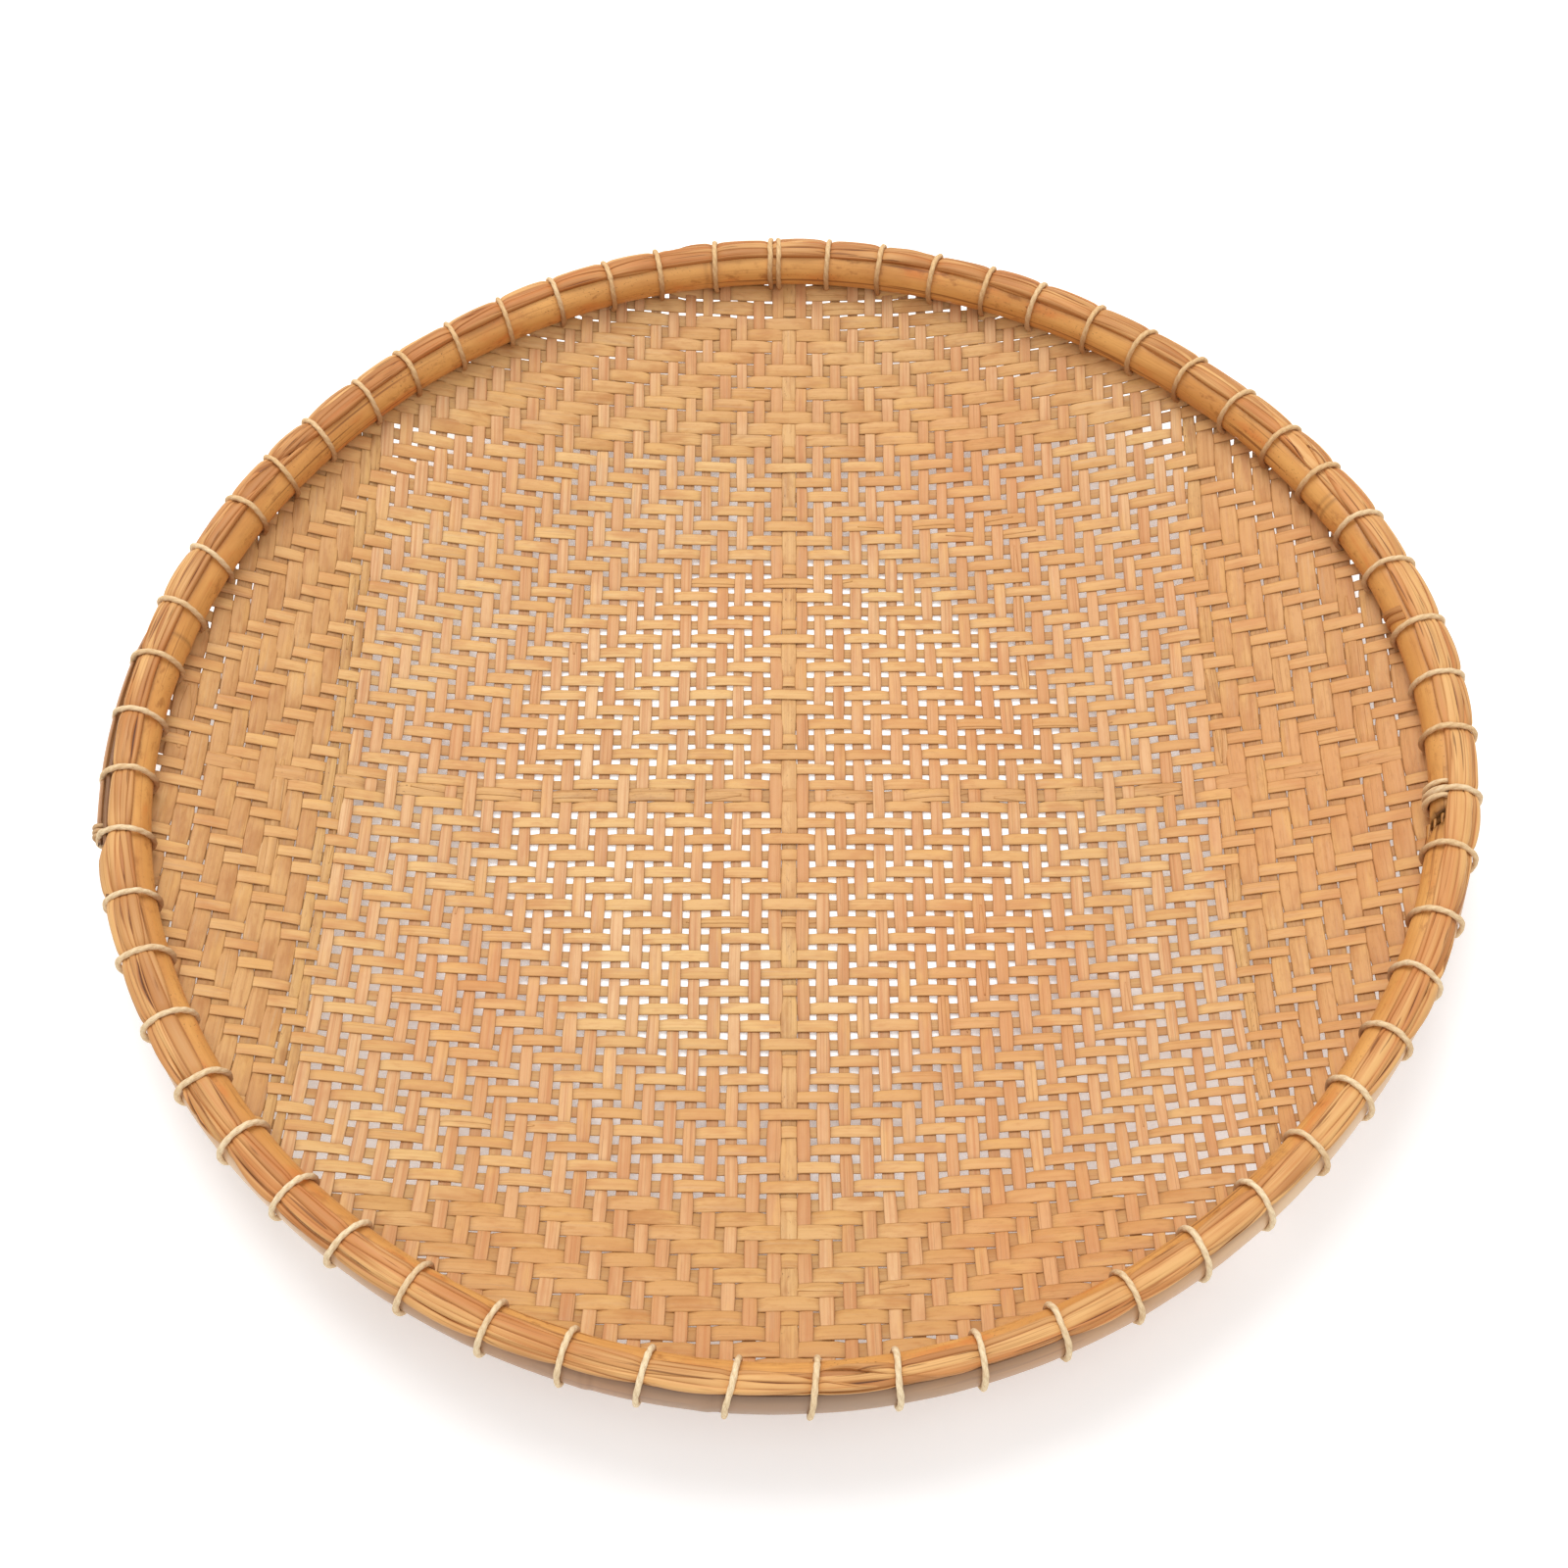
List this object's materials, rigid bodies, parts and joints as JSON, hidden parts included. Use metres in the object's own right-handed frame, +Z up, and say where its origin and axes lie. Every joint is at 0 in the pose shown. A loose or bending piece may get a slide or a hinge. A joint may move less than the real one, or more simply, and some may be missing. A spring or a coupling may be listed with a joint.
{
  "type": "winnowing basket",
  "caption": "Shallow round tray of twill-woven bamboo splints, clamped between bent hoops and tied with cord, for tossing and winnowing grain.",
  "frame": {"origin": "middle of the flat underside of the mat, on the plane the basket rests on", "axes": "+Z up, out of the open side of the tray; +Y along the middle warp splint, away from the viewer; +X along the middle weft splint, to the right"},
  "size_m": [0.6083, 0.6082, 0.0706],
  "materials": {
    "spine_splint": "satin",
    "warp_splint": "satin",
    "weft_splint": "satin",
    "wide_splint": "satin",
    "speckled_splint": "matt",
    "inner_bamboo": "satin",
    "outer_bamboo": "satin",
    "cap_cane": "satin",
    "twisted_cord": "matt"
  },
  "bodies": {
    "root": {"spine_warp": "spine_splint", "open_warps_left": "warp_splint", "open_warps_right": "warp_splint", "speckled_warps": "speckled_splint", "wide_warps_left": "wide_splint", "rough_warp": "speckled_splint", "wide_warps_right": "wide_splint", "centre_weft": "spine_splint", "open_wefts_far": "weft_splint", "open_wefts_near": "weft_splint", "wide_wefts_far": "wide_splint", "wide_wefts_near": "wide_splint", "inner_hoop": "inner_bamboo", "outer_hoop": "outer_bamboo", "cane_band": "cap_cane", "hoop_end_wrap": "twisted_cord", "lashing_start": "twisted_cord", "lashings_far": "twisted_cord", "lashings_right": "twisted_cord", "lashings_near": "twisted_cord", "lashings_left": "twisted_cord", "cap_strip_inner_1": "cap_cane", "cap_strip_outer_1": "cap_cane", "cap_strip_inner_2": "cap_cane", "cap_strip_outer_2": "cap_cane", "cap_strip_inner_3": "cap_cane", "cap_strip_outer_3": "cap_cane"}
  },
  "joints": []
}
